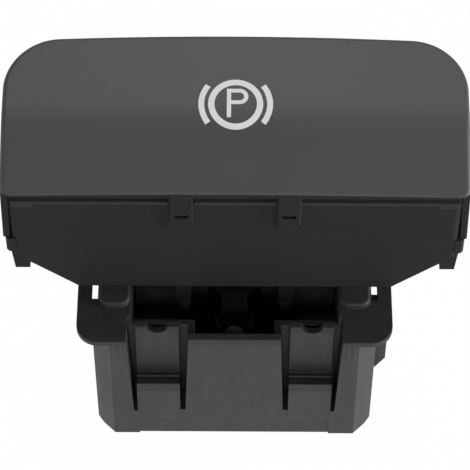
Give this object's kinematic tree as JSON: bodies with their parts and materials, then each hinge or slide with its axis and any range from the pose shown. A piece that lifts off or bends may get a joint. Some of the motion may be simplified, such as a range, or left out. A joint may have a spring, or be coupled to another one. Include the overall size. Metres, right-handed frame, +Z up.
{
  "type": "electric parking brake switch",
  "caption": "Pull-and-push parking brake lever switch: wide painted paddle on a hinged carrier over a clip-in housing.",
  "frame": {"origin": "under the middle of the part, on the flat bottom of the housing", "axes": "+Z up out of the console, -Y towards the driver's end where the clips show, +X along the lever to the right"},
  "size_m": [0.0734, 0.0382, 0.0655],
  "materials": {
    "cover": "soft-touch dark grey paint over moulded plastic",
    "carrier": "moulded plastic, satin",
    "housing": "glass-filled moulded plastic, satin",
    "inner": "moulded acetal, satin",
    "light_guide": "clear moulded, polished",
    "diffuser": "milky translucent",
    "steel": "ground",
    "spring_steel": "drawn wire",
    "bronze": "plain",
    "gold_plate": "plated",
    "board": "solder resist",
    "chip": "moulded epoxy",
    "led": "clear over phosphor",
    "buffer": "matte"
  },
  "bodies": {
    "base": {"housing": "housing", "bottom_cover": "housing", "cover_screws": "steel", "circuit_board": "board", "connector_pins": "gold_plate", "control_chip": "chip", "chip_resistors": "chip", "backlight_led": "led", "lower_light_guide": "light_guide", "guide_frame": "inner", "stop_buffers": "buffer", "pivot_pin": "steel", "front_spring": "spring_steel", "rear_spring": "spring_steel"},
    "lever": {"lever_cover": "cover", "lever_carrier": "carrier", "upper_light_guide": "light_guide", "symbol_diffuser": "diffuser", "drive_yoke": "inner", "yoke_screws": "steel", "pivot_bushes": "bronze"},
    "front_plunger_body": {"front_plunger": "inner"},
    "rear_plunger_body": {"rear_plunger": "inner"},
    "slider": {"contact_slider": "inner", "contact_wipers": "gold_plate"}
  },
  "joints": [
    {"name": "lever_hinge", "type": "hinge", "parent": "base", "child": "lever", "pos_m": [0, 0.0015, 0.0203], "axis": [1, 0, 0], "range_deg": [-7, 7], "stiffness_Nm_per_rad": 4},
    {"name": "front_plunger_slide", "type": "slide", "parent": "base", "child": "front_plunger_body", "axis": [0, 0, 1], "range_m": [-0.001, 0.001], "deforming": ["front_spring"]},
    {"name": "rear_plunger_slide", "type": "slide", "parent": "base", "child": "rear_plunger_body", "axis": [0, 0, 1], "range_m": [-0.001, 0.001], "deforming": ["rear_spring"]},
    {"name": "contact_slide", "type": "slide", "parent": "base", "child": "slider", "axis": [0, 1, 0], "range_m": [-0.00096, 0.00096]}
  ],
  "couplings": [
    {"joint": "front_plunger_slide", "follows": "lever_hinge", "m_per_rad": -0.008},
    {"joint": "rear_plunger_slide", "follows": "lever_hinge", "m_per_rad": 0.008},
    {"joint": "contact_slide", "follows": "lever_hinge", "m_per_rad": 0.0077}
  ]
}
